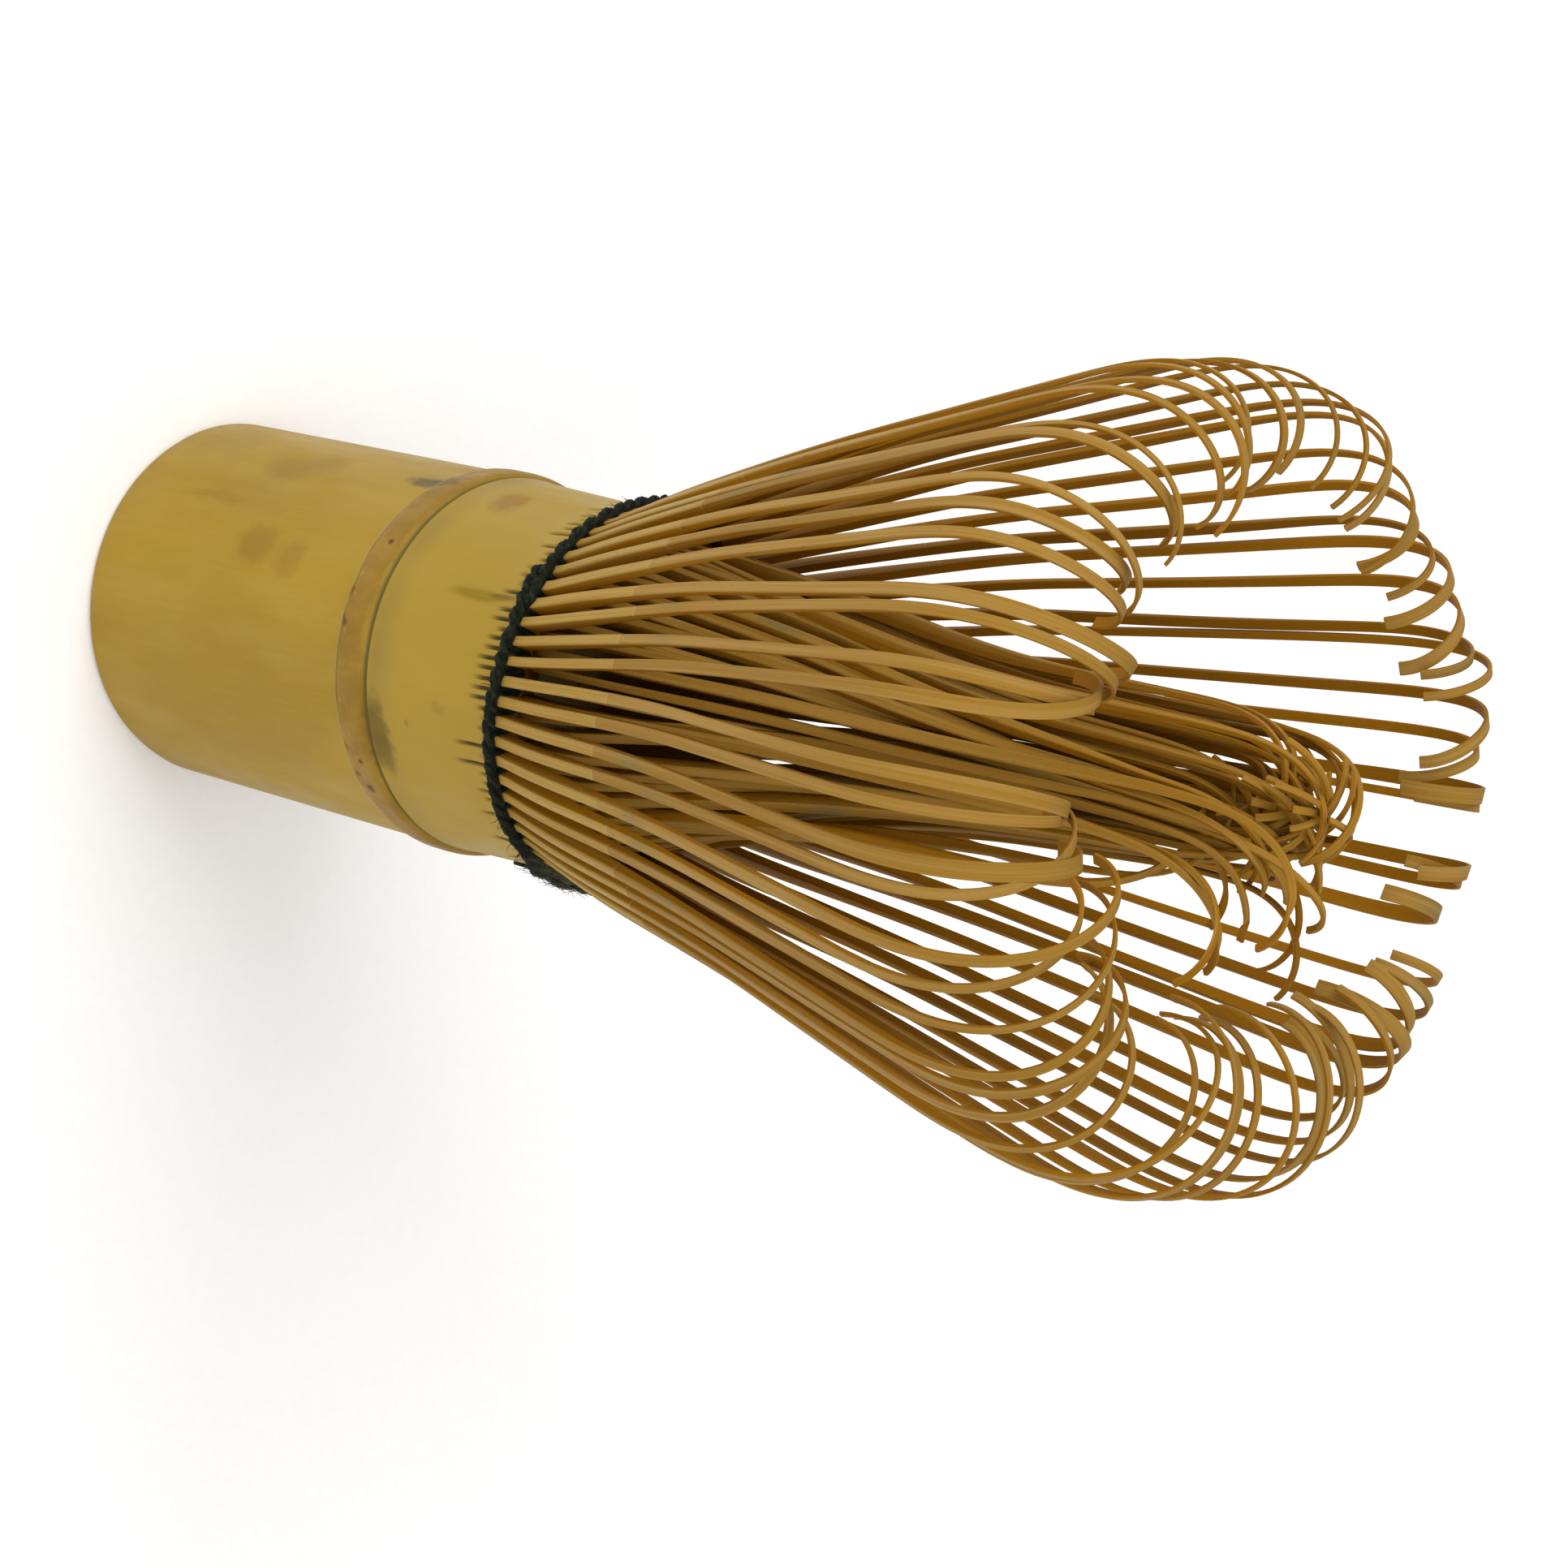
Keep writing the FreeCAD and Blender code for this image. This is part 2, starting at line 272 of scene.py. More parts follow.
class Finish:
    """A material under construction: short calls that add a node and return its output."""

    def __init__(self, name):
        self.material = bpy.data.materials.new(name)
        self.material.use_nodes = True
        self.tree = self.material.node_tree
        self.shader = self.tree.nodes["Principled BSDF"]

    def feed(self, socket, value):
        """Links an output to the socket, or sets the socket; a colour gets its fourth number here."""
        if isinstance(value, bpy.types.NodeSocket):
            self.tree.links.new(value, socket)
        elif hasattr(value, "__len__"):
            size = len(socket.default_value)
            socket.default_value = (*value, 1.0)[:size]
        else:
            socket.default_value = value

    def node(self, kind, **settings):
        made = self.tree.nodes.new(kind)
        for key, value in settings.items():
            setattr(made, key, value)
        return made

    def place(self):
        return self.node("ShaderNodeTexCoord").outputs["Object"]

    def attribute(self, name, output):
        return self.node("ShaderNodeAttribute", attribute_name=name).outputs[output]

    def split(self, vector):
        node = self.node("ShaderNodeSeparateXYZ")
        self.feed(node.inputs[0], vector)
        return node.outputs

    def scaled(self, vector, scale, shift=(0, 0, 0)):
        node = self.node("ShaderNodeMapping")
        self.feed(node.inputs["Vector"], vector)
        self.feed(node.inputs["Location"], shift)
        self.feed(node.inputs["Scale"], scale)
        return node.outputs[0]

    def noise(self, vector, scale, detail=3.0, rough=0.55):
        node = self.node("ShaderNodeTexNoise")
        self.feed(node.inputs["Vector"], vector)
        self.feed(node.inputs["Scale"], scale)
        self.feed(node.inputs["Detail"], detail)
        self.feed(node.inputs["Roughness"], rough)
        return node.outputs[0]

    def shaken(self, vector, scale, amount):
        """The vector moved about by noise, so that a shape laid out in it gets a ragged edge."""
        noise = self.node("ShaderNodeTexNoise")
        self.feed(noise.inputs["Vector"], vector)
        self.feed(noise.inputs["Scale"], scale)
        node = self.node("ShaderNodeVectorMath", operation="MULTIPLY_ADD")
        self.feed(node.inputs[0], noise.outputs["Color"])
        self.feed(node.inputs[1], (2 * amount, 2 * amount, 2 * amount))
        self.feed(node.inputs[2], self.scaled(vector, (1, 1, 1), (-amount, -amount, -amount)))
        return node.outputs[0]

    def grained(self, vector, scale, detail=3.0, rough=0.55):
        """Noise stretched differently along each axis."""
        return self.noise(self.scaled(vector, scale), 1.0, detail, rough)

    def math(self, operation, first, second=0.0, clamp=False):
        node = self.node("ShaderNodeMath", operation=operation, use_clamp=clamp)
        self.feed(node.inputs[0], first)
        self.feed(node.inputs[1], second)
        return node.outputs[0]

    def step(self, value, low, high, out_low=0.0, out_high=1.0):
        node = self.node("ShaderNodeMapRange", interpolation_type="SMOOTHSTEP")
        for socket, number in zip(node.inputs, (value, low, high, out_low, out_high)):
            self.feed(socket, number)
        return node.outputs[0]

    def band(self, value, low, high, blur):
        """1 from low to high, with blurred edges."""
        rise = self.step(value, low - blur, low + blur)
        return self.product(rise, self.step(value, high - blur, high + blur, 1.0, 0.0))

    def spot(self, vector, centre, size):
        """A round, soft spot: 1 near the centre, 0 beyond size, which may differ along each axis."""
        node = self.node("ShaderNodeMapping", vector_type="TEXTURE")
        self.feed(node.inputs["Vector"], vector)
        self.feed(node.inputs["Location"], centre)
        self.feed(node.inputs["Scale"], size)
        far = self.node("ShaderNodeVectorMath", operation="LENGTH")
        self.feed(far.inputs[0], node.outputs[0])
        return self.step(far.outputs["Value"], 0.35, 1.0, 1.0, 0.0)

    def blend(self, factor, first, second):
        node = self.node("ShaderNodeMix", data_type="RGBA")
        self.feed(node.inputs["Factor"], factor)
        self.feed(node.inputs[6], first)
        self.feed(node.inputs[7], second)
        return node.outputs[2]

    def product(self, first, *others):
        for other in others:
            first = self.math("MULTIPLY", first, other)
        return first

    def over(self, colour, tone, *masks):
        """A tone laid over the colour, as strong as the masks multiplied together."""
        return self.blend(self.product(*masks), colour, tone)

    def bumped(self, height, distance, strength=1.0, normal=None):
        node = self.node("ShaderNodeBump")
        self.feed(node.inputs["Height"], height)
        self.feed(node.inputs["Distance"], distance)
        self.feed(node.inputs["Strength"], strength)
        if normal is not None:
            self.feed(node.inputs["Normal"], normal)
        return node.outputs[0]

    def finish(self, **sockets):
        for name, value in sockets.items():
            self.feed(self.shader.inputs[name.replace("_", " ")], value)
        return self.material


WALL_RADIUS = 14.0 * MM


def on_wall(degrees, height, radius=WALL_RADIUS):
    """A place on the culm's wall, from its direction in degrees and its height in millimetres."""
    turn = math.radians(degrees)
    return (radius * math.cos(turn), radius * math.sin(turn), height * MM)


# stains, streaks and pits: direction in degrees; height, half width and half height in
# millimetres; colour; strength
CULM_MARKS = (
    (249.5, 17.6, 2.5, 3.0, (0.222, 0.118, 0.004), 0.72),
    (251.5, 21.6, 2.1, 2.1, (0.226, 0.122, 0.005), 0.62),
    (236.0, 10.4, 0.8, 5.0, (0.220, 0.122, 0.005), 0.50),
    (218.0, 14.7, 2.2, 3.8, (0.212, 0.120, 0.006), 0.58),
    (212.0, 17.5, 2.0, 2.4, (0.212, 0.120, 0.006), 0.45),
    (208.0, 5.2, 3.6, 4.6, (0.218, 0.128, 0.008), 0.50),
    (211.5, 28.9, 1.3, 3.6, (0.080, 0.050, 0.006), 1.00),
    (211.0, 36.9, 2.2, 2.0, (0.225, 0.098, 0.003), 0.85),
    (297.0, 33.3, 3.6, 1.5, (0.125, 0.076, 0.006), 1.00),
    (303.0, 33.6, 2.8, 1.4, (0.130, 0.080, 0.007), 0.90),
    (249.0, 41.4, 0.69, 3.6, (0.215, 0.137, 0.0001), 1.00),
    (248.4, 43.8, 0.36, 2.0, (0.150, 0.080, 0.0002), 1.00),
    (318.0, 30.9, 0.50, 0.52, (0.045, 0.019, 0.003), 1.00),
    (313.0, 30.1, 0.38, 0.40, (0.057, 0.024, 0.004), 0.95),
    (308.0, 31.1, 0.30, 0.34, (0.057, 0.024, 0.004), 0.90),
    (304.0, 29.8, 0.55, 0.42, (0.070, 0.030, 0.005), 0.90),
    (257.0, 29.8, 0.65, 0.55, (0.076, 0.032, 0.005), 0.90),
    (266.0, 29.75, 0.80, 0.45, (0.070, 0.027, 0.004), 0.90),
    (240.0, 31.3, 0.36, 0.36, (0.064, 0.027, 0.004), 0.95),
    (292.0, 36.6, 0.4, 0.3, (0.190, 0.092, 0.008), 0.60),
    (285.0, 39.9, 0.8, 0.6, (0.200, 0.110, 0.009), 0.35),
    (30.0, 14.0, 3.5, 3.0, (0.210, 0.124, 0.014), 0.60),
    (80.0, 22.0, 2.0, 4.0, (0.210, 0.124, 0.011), 0.60),
    (120.0, 9.0, 3.0, 2.2, (0.204, 0.119, 0.012), 0.60),
    (60.0, 36.0, 1.2, 1.6, (0.210, 0.092, 0.005), 0.75),
    (150.0, 33.5, 2.6, 1.1, (0.140, 0.081, 0.008), 0.75),
)


def culm_finish(settings):
    """Dried bamboo skin: fine fibres up the wall, cloudy tone, a browner node band and its marks, with
    painted shade at the node's groove.

    The marks are laid out on "wall", which holds each vertex's direction and height on a straight
    round wall.  "slit" is 1 in the slits, which are painted dark as the shade inside the cuts, and "cut_face"
    is 1 on sawn and inner faces.
    """
    made = Finish("dried bamboo culm")
    place = made.place()
    height = made.split(place)[2]
    cloud = made.grained(place, (90, 90, 45), 4.0)
    fibre = made.grained(place, (3200, 3200, 45), 3.0, 0.6)
    fine = made.grained(place, (9000, 9000, 160), 2.0, 0.5)
    wash = made.grained(place, (230, 230, 80), 4.0)
    skin = tuple(settings.skin_colour)
    colour = made.over(skin, tinted(skin, (0.86, 0.84, 0.72)), made.step(cloud, 0.35, 0.68))
    colour = made.over(colour, (0.385, 0.262, 0.044), made.step(wash, 0.42, 0.70, 0, 0.32))
    colour = made.over(colour, (0.23, 0.145, 0.010), made.step(fibre, 0.38, 0.66, 0, 0.10))
    colour = made.over(colour, (0.42, 0.29, 0.07), made.step(fine, 0.45, 0.7, 0, 0.08))

    # the node: a paler upper internode, painted shade in a band just above the groove, the brown band, its
    # scar and its groove, painted dark as the shade in its crease
    wobble = made.product(made.math("SUBTRACT", made.noise(place, 260.0, 2.0), 0.5), 0.9 * MM)
    ragged = made.math("ADD", height, wobble)
    colour = made.over(colour, (0.325, 0.212, 0.022), made.step(height, 32.4 * MM, 33.0 * MM), 0.6)
    # painted shade: a darker band just above the groove, dimmed unevenly by the cloud noise
    shade_above_groove = made.band(height, 32.6 * MM, 34.4 * MM, 1.4 * MM)
    colour = made.over(colour, (0.21, 0.145, 0.028), shade_above_groove, made.step(cloud, 0.3, 0.7, 0.25, 0.75))
    node_band = made.band(ragged, 29.75 * MM, 32.35 * MM, 0.28 * MM)
    mottle = made.step(made.grained(place, (500, 500, 260)), 0.35, 0.7)
    band_tone = made.blend(mottle, (0.205, 0.108, 0.009), (0.262, 0.148, 0.016))
    colour = made.over(colour, band_tone, node_band, 0.85)
    scar = made.band(ragged, 29.5 * MM, 29.72 * MM, 0.16 * MM)
    broken = made.step(made.grained(place, (420, 420, 60), 2.0), 0.40, 0.62, 0.12, 0.85)
    colour = made.over(colour, (0.115, 0.055, 0.016), scar, broken)
    scrape = made.band(ragged, 29.8 * MM, 30.6 * MM, 0.3 * MM)
    flecks = made.step(made.grained(place, (900, 900, 1500)), 0.56, 0.66)
    colour = made.over(colour, (0.40, 0.25, 0.12), scrape, flecks, 0.35)
    # painted shade: the groove is painted near black, as the shade in its crease
    groove = made.band(height, 32.38 * MM, 32.58 * MM, 0.07 * MM)
    colour = made.over(colour, (0.085, 0.072, 0.014), groove, 0.86)

    # large marks get a ragged edge, and small ones stay whole
    wall = made.attribute("wall", "Vector")
    shaken = made.shaken(wall, 900.0, 0.9 * MM)
    for degrees, rise, wide, tall, tone, strength in CULM_MARKS:
        size = (wide * MM, wide * MM, tall * MM)
        mask = made.spot(wall if wide < 0.7 else shaken, on_wall(degrees, rise), size)
        uneven = made.step(cloud if wide > 1 else fibre, 0.30, 0.60, 0.55, 1.0)
        colour = made.over(colour, tone, mask, uneven, strength)

    # painted shade: the slits are painted near black, standing in for the shade inside the cuts
    colour = made.over(colour, (0.040, 0.026, 0.005), made.attribute("slit", "Fac"), 0.92)
    cut = made.attribute("cut_face", "Fac")
    pores = made.step(made.noise(place, 5200.0, 2.0), 0.54, 0.66, 0.0, 0.75)
    end_grain = made.blend(pores, (0.42, 0.29, 0.11), (0.22, 0.12, 0.03))
    cup_tone = made.blend(fibre, (0.15, 0.060, 0.002), (0.21, 0.095, 0.006))
    end_grain = made.over(end_grain, cup_tone, made.step(height, 32 * MM, 34 * MM))
    colour = made.over(colour, end_grain, cut)
    rough = made.step(made.grained(place, (400, 400, 120)), 0.3, 0.7, 0.42, 0.55)
    rough = made.math("ADD", rough, made.product(cut, 0.3), clamp=True)
    relief = made.math("ADD", made.product(fibre, 0.7), made.product(fine, 0.3))
    normal = made.bumped(relief, 0.025 * MM, 0.35)
    pits = made.grained(place, (700, 700, 900))
    normal = made.bumped(made.product(node_band, pits), 0.22 * MM, 0.8, normal)
    return made.finish(Base_Color=colour, Roughness=rough, Normal=normal, Specular_IOR_Level=0.18)


GOLDEN = (1.0, 0.92, 0.62)


def tine_finish(name, skin, core):
    """Split bamboo: fibres along the strip, a skin face and browner split faces.

    The strip's vertices say: "grain", its own coordinates across, through and along, in metres;
    "tone", pale or dark; "skin", 1 on the skin face; "shave", metres past the line below which the
    skin keeps the culm's gloss; "bloom", where a greenish stain lies; and "reach", 0 at the root
    and 1 at the tip.
    """
    made = Finish(name)
    grain = made.attribute("grain", "Vector")
    face = made.attribute("skin", "Fac")
    shave = made.attribute("shave", "Fac")
    fibre = made.grained(grain, (7000, 7000, 70), 3.0, 0.6)
    streak = made.grained(grain, (2200, 2200, 28), 2.0)
    patch = made.grained(grain, (300, 300, 120))
    shade = made.step(made.attribute("tone", "Fac"), 0.0, 1.0)
    shaved = made.step(shave, -0.2 * MM, 0.2 * MM)
    lit = made.blend(shade, tinted(skin, (0.82, 0.76, 0.56)), tinted(skin, (1.12, 1.14, 1.24)))
    glossy = made.blend(0.5, lit, (0.40, 0.262, 0.046))
    outside = made.blend(shaved, glossy, lit)
    toward_tip = made.step(made.attribute("reach", "Fac"), 0.5, 0.8, 0, 0.85)
    outside = made.over(outside, tinted(skin, GOLDEN), toward_tip)
    green = made.product(made.attribute("bloom", "Fac"), made.step(patch, 0.30, 0.52))
    outside = made.over(outside, (0.165, 0.145, 0.050), green, 0.85)
    inside = made.blend(shade, tinted(core, (0.80, 0.78, 0.70)), tinted(core, (1.22, 1.24, 1.30)))
    colour = made.blend(made.step(face, 0.78, 0.97), inside, outside)
    colour = made.over(colour, tinted(core, (0.95, 0.92, 0.9)), made.step(fibre, 0.38, 0.64, 0, 0.42))
    colour = made.over(colour, tinted(skin, (1.22, 1.26, 1.65)), face, made.step(streak, 0.42, 0.66, 0, 0.50))
    speck = made.step(made.grained(grain, (3500, 3500, 900), 2.0), 0.66, 0.74)
    colour = made.over(colour, (0.17, 0.085, 0.02), speck, 0.5)
    line = made.band(shave, -0.06 * MM, 0.06 * MM, 0.05 * MM)
    colour = made.over(colour, (0.50, 0.35, 0.14), line, made.product(face, 0.35))
    gloss = made.product(made.math("SUBTRACT", 1.0, shaved), made.product(face, 0.12))
    rough = made.math("SUBTRACT", made.step(fibre, 0.3, 0.7, 0.50, 0.66), gloss)
    return made.finish(Base_Color=colour, Roughness=rough, Normal=made.bumped(fibre, 0.05 * MM, 0.6),
                       Specular_IOR_Level=0.09)


def thread_finish(settings):
    """Waxed cotton: near black with a green cast, fine slanting fibres, paler where it is worn."""
    made = Finish("dark waxed thread")
    place = made.place()
    across, _, along = made.split(made.attribute("grain", "Vector"))
    slant = made.math("ADD", made.product(along, 5200.0), made.product(across, 9000.0))
    ply = made.math("SINE", slant)
    fluff = made.grained(place, (2600, 2600, 2600))
    worn = made.grained(place, (260, 260, 260), 2.0)
    colour = made.over(tuple(settings.colour), (0.017, 0.021, 0.011), made.step(ply, -0.6, 1.0, 0, 0.5))
    colour = made.over(colour, (0.034, 0.038, 0.022), made.step(fluff, 0.52, 0.72, 0, 0.5))
    low_end = made.spot(place, on_wall(352, 45.0, 13.6 * MM), (9.0 * MM, 7.5 * MM, 5.0 * MM))
    colour = made.over(colour, (0.070, 0.074, 0.045), low_end, made.step(worn, 0.30, 0.65, 0.35, 0.9))
    relief = made.math("ADD", made.product(ply, 0.5), fluff)
    return made.finish(Base_Color=colour, Roughness=0.74, Normal=made.bumped(relief, 0.06 * MM, 0.8),
                       Specular_IOR_Level=0.08, Sheen_Weight=0.03, Sheen_Roughness=0.5)


def paper_finish():
    """Matt white studio paper with a barely visible tooth."""
    made = Finish("studio paper")
    tooth = made.noise(made.place(), 900.0, 2.0)
    colour = made.blend(made.step(tooth, 0.3, 0.7), (0.965, 0.965, 0.965), (0.98, 0.98, 0.98))
    return made.finish(Base_Color=colour, Roughness=0.95, Specular_IOR_Level=0.0)


# ---------------------------------------------------------------- culm

MAIN_SLITS = 60
NODE_BOTTOM = 29.5 * MM
NODE_TOP = 32.5 * MM


def thread_height(thread, azimuth):
    """Height of the lacing: the hinge height plus a slope across the whisk, and a slight waver."""
    waver = 0.10 * MM * np.sin(3 * azimuth + 0.8) + 0.05 * MM * np.sin(11 * azimuth)
    return HINGE_HEIGHT + thread.slope * np.cos(azimuth - thread.high_side) + waver


def slit_columns(rng):
    """Directions of the culm's columns, and which slit and how deep each one is.

    Every slit has four columns close together, the middle two at full depth, and two plain columns
    follow it.  Whole slits lie between the tines and lesser ones on them.
    """
    slits = 2 * MAIN_SLITS
    jitter = rng.uniform(-0.0035, 0.0035, slits)
    middle = np.arange(slits) * FULL_TURN / slits + jitter
    offsets = np.array([-0.0135, -0.0075, 0.0075, 0.0135, 0.0205, 0.0290])
    depth = np.array([0, 1, 1, 0, 0, 0.0])
    azimuth = middle[:, None] + offsets
    return azimuth.ravel(), np.repeat(np.arange(slits), len(offsets)), np.tile(depth, slits)


def build_culm(settings, thread, material):
    """The culm as one closed surface of revolution, its wall radius varied by height and direction.

    Outside: a small rim bevel, a straight wall with slow waves, a raised band at the node with a
    sharp groove above it, and a taper to the collar.  Inside: the hollow and both sides of the node
    wall, each closed at the axis.
    """
    rng = np.random.default_rng(11)
    azimuth, slit, slit_depth = slit_columns(rng)
    length = rng.uniform(1.5, 4.6, 2 * MAIN_SLITS) * MM
    cut_through = rng.uniform(0, 1, MAIN_SLITS) < 0.8
    length[1::2] = np.where(cut_through, rng.uniform(1.0, 3.4, MAIN_SLITS), 0.3) * MM
    top = thread_height(thread, azimuth) - 0.1 * MM
    wall = settings.handle_radius
    ridge = settings.ridge_height
    # rows up the outside, as heights for a level collar; the top rows follow the lacing's slope
    outside = np.concatenate([
        [0.70], np.linspace(3.0, 28.4, 9), np.linspace(28.8, 33.4, 42), np.linspace(34.2, 40.0, 6),
        np.linspace(40.6, 45.77, 20)]) * MM
    follow = smooth(outside, 34 * MM, 41 * MM)[:, None]
    rise = outside[:, None] + (top - COLLAR_TOP - 0.77 * MM) * follow
    upper = np.clip((rise - 32.7 * MM) / (12.3 * MM), 0, 1.1)
    taper = 0.25 * smooth(rise, 31 * MM, 34 * MM) + 0.75 * upper
    radius = wall - (wall - settings.collar_radius) * np.clip(taper, 0, 1.06)
    radius += 0.22 * MM * smooth(rise, 42.5 * MM, 46.0 * MM)
    radius += 0.05 * MM * np.sin(2 * azimuth + 0.6) + 0.03 * MM * np.sin(5 * azimuth + 2.0 + 60 * rise)
    waver = (0.16 * np.sin(2 * azimuth + 1) + 0.10 * np.sin(5 * azimuth) + 0.05 * np.sin(13 * azimuth)) * MM
    height = rise - 0.25 * waver
    uneven = 1 + 0.18 * np.sin(3 * azimuth + 0.5)
    swelling = smooth(height, ridge - 2.1 * MM - waver, ridge - 0.9 * MM)
    swelling = swelling * (1 - smooth(height, ridge + 0.5 * MM, ridge + 1.7 * MM))
    radius += 0.36 * MM * uneven * swelling
    scar = bump(height + waver, 29.6 * MM, 0.28 * MM) * (0.5 + 0.5 * np.sin(9 * azimuth + 4))
    radius -= 0.07 * MM * scar
    radius -= 0.26 * MM * bump(rise, 32.49 * MM, 0.24 * MM)
    reach = smooth(rise, top - length[slit], top - 0.55 * length[slit])
    cut = slit_depth * reach
    radius -= 0.28 * MM * cut

    def ring(distance, level):
        return np.broadcast_arrays(distance, level, azimuth)[:2]

    bevel = wall - 0.7 * MM
    bore = settings.bore_radius
    cup = settings.cup_radius
    below = [ring(bore * 0.5, NODE_BOTTOM), ring(bore - 0.5 * MM, NODE_BOTTOM),
             ring(bore, NODE_BOTTOM - 0.5 * MM), ring(bore, 15 * MM), ring(bore, 0.35 * MM),
             ring(bore + 0.35 * MM, 0.0), ring(bore + 2.0 * MM, 0.0), ring(bevel, 0.0),
             ring(bevel + 0.35 * MM, 0.09 * MM), ring(bevel + 0.61 * MM, 0.35 * MM)]
    above = [ring(radius[-1] - 0.25 * MM, top + 0.02 * MM), ring(11.4 * MM, top),
             ring(cup + 0.2 * MM, top - 0.1 * MM), ring(cup, top - 0.5 * MM), ring(cup, 40 * MM),
             ring(cup, NODE_TOP + 0.7 * MM), ring(cup - 0.7 * MM, NODE_TOP), ring(cup * 0.5, NODE_TOP)]
    radii = np.stack([r for r, _ in below] + list(radius) + [r for r, _ in above])
    heights = np.stack([z for _, z in below] + list(rise) + [z for _, z in above])
    grid = polar(radii, azimuth, heights)
    rows, columns = radii.shape
    index = np.arange(rows * columns).reshape(rows, columns)
    following = np.roll(index, -1, axis=1)
    quads = stacked(index[:-1], following[:-1], following[1:], index[1:]).reshape(-1, 4)
    low_pole = rows * columns
    bottom_fan = stacked(low_pole, following[0], index[0])
    top_fan = stacked(low_pole + 1, index[-1], following[-1])
    points = np.concatenate([grid.reshape(-1, 3), [[0, 0, NODE_BOTTOM], [0, 0, NODE_TOP]]])
    faces = quads.tolist() + bottom_fan.tolist() + top_fan.tolist()
    piece = add_mesh("culm_wall", points, faces, material)
    outer_rows = slice(len(below), len(below) + len(outside))
    # painted shade: each slit's depth goes to the finish, which paints the slit dark as the shade inside the
    # cut
    dark = np.zeros((rows, columns))
    dark[outer_rows] = cut
    point_values(piece, "slit", np.append(dark.ravel(), [0, 0]))
    sawn = np.zeros((rows, columns))
    sawn[:outer_rows.start - 1] = 1
    sawn[outer_rows.stop:] = 1
    point_values(piece, "cut_face", np.append(sawn.ravel(), [1, 1]))
    flat = polar(WALL_RADIUS, azimuth, heights).reshape(-1, 3)
    point_vectors(piece, "wall", np.concatenate([flat, np.zeros((2, 3))]))
    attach(piece, HANDLE_BODY)
    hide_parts("handle_culm")


# ---------------------------------------------------------------- thread

LAP_TURN = math.radians(244)


def strand_pair(name, azimuth, radius, height, settings, material, twists, thick):
    """Two strands wound round one path: each stands off it by 0.68 of its radius, half a turn apart."""
    wound = azimuth * twists + 0.7 * np.sin(9 * azimuth) + 0.4 * np.sin(23 * azimuth)
    wound = wound + np.array([[0.0], [math.pi]])
    swell = 1 + 0.07 * np.sin(azimuth * 173) + 0.05 * np.sin(azimuth * 89 + np.array([[0.0], [2.0]]))
    girth = settings.strand_radius * swell * thick
    off = 0.68 * girth
    path = polar(radius + off * np.cos(wound), azimuth, height + off * np.sin(wound))
    return round_tube(name, path, girth, material)


def from_ends(azimuth):
    """How far each place on a strand is from its nearer end, in radians."""
    return np.minimum(azimuth - azimuth[0], azimuth[-1] - azimuth)


def build_lacing(settings, material):
    """The thread: a doubled turn round the tines, a short wrap over its end, a strand woven in and
    out between the tines, and loose fibres.

    The doubled turn is a little more than once round, so its ends pass each other at the lap.  The
    woven strand runs at the ring radius over a tine and dips inwards in every gap, as the cube of
    a raised cosine.
    """
    rng = np.random.default_rng(5)
    lap = math.radians(7)
    last = LAP_TURN + FULL_TURN
    azimuth = np.linspace(LAP_TURN - lap, last + lap, 1500)
    thick = 0.25 + 0.75 * smooth(from_ends(azimuth), 0, math.radians(2.2))
    start = 1 - smooth(azimuth, LAP_TURN - lap, LAP_TURN + 2.2 * lap)
    finish = smooth(azimuth, last - 1.5 * lap, last + lap)
    passing = smooth(azimuth, LAP_TURN - lap, LAP_TURN + lap) + smooth(azimuth, last - lap, last + lap)
    crossing = 0.084 * MM * (passing - 1.5)
    height = thread_height(settings, azimuth) + (0.30 * finish - 0.52 * start) * MM + crossing
    radius = settings.ring_radius + (0.12 * start - 0.05 * finish + 0.03 * np.sin(60 * azimuth)) * MM
    turn = strand_pair("lacing_turn", azimuth, radius, height, settings, material, 33.0, thick)
    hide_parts("binding_thread")

    azimuth = np.radians(np.linspace(327, 380, 240))
    thick = 0.25 + 0.65 * smooth(from_ends(azimuth), 0, math.radians(14))
    radius = settings.ring_radius + (0.30 * thick + 0.10 * np.sin(31 * azimuth)) * MM
    height = thread_height(settings, azimuth) + (0.16 * np.sin(17 * azimuth) - 0.55 * thick) * MM
    strand_pair("lacing_end", azimuth, radius, height, settings, material, 27.0, thick)

    azimuth = np.linspace(0, FULL_TURN, MAIN_SLITS * 26, endpoint=False)[None]
    gap = (0.5 + 0.5 * np.cos(MAIN_SLITS * azimuth)) ** 3
    radius = settings.ring_radius - (0.12 + 1.7 * gap) * MM
    height = thread_height(settings, azimuth) + (0.12 + 0.30 * gap + 0.1 * np.sin(azimuth * 7 + 1) * gap) * MM
    girth = 0.24 * MM * (1 + 0.12 * gap)
    round_tube("lacing_weave", polar(radius, azimuth, height), girth, material, 6, True)

    hairs = 240
    along = np.linspace(0, 1, 7)
    low = rng.uniform(0, 1, hairs) < 0.72
    foot = np.where(low, rng.normal(math.radians(346), 0.22, hairs), rng.uniform(0, FULL_TURN, hairs))
    foot = foot[:, None]
    reach = rng.uniform(0.35, 1.6, (hairs, 1)) * MM * np.where(low[:, None], 1.0, 0.6)
    aim = rng.uniform(0, FULL_TURN, (hairs, 1))
    drift = rng.uniform(-0.5, 0.5, (hairs, 1))
    out = settings.ring_radius + 0.35 * MM + reach * along * 0.55 * rng.uniform(0.3, 1, (hairs, 1))
    azimuth = foot + reach / settings.ring_radius * (along * np.cos(aim) + drift * along ** 2)
    height = thread_height(settings, foot) + reach * (along * np.sin(aim) + drift * along ** 2)
    thin = 0.035 * MM * (1 - 0.7 * along) + 0 * out
    round_tube("lacing_fluff", polar(out, azimuth, height), thin, material, 4)


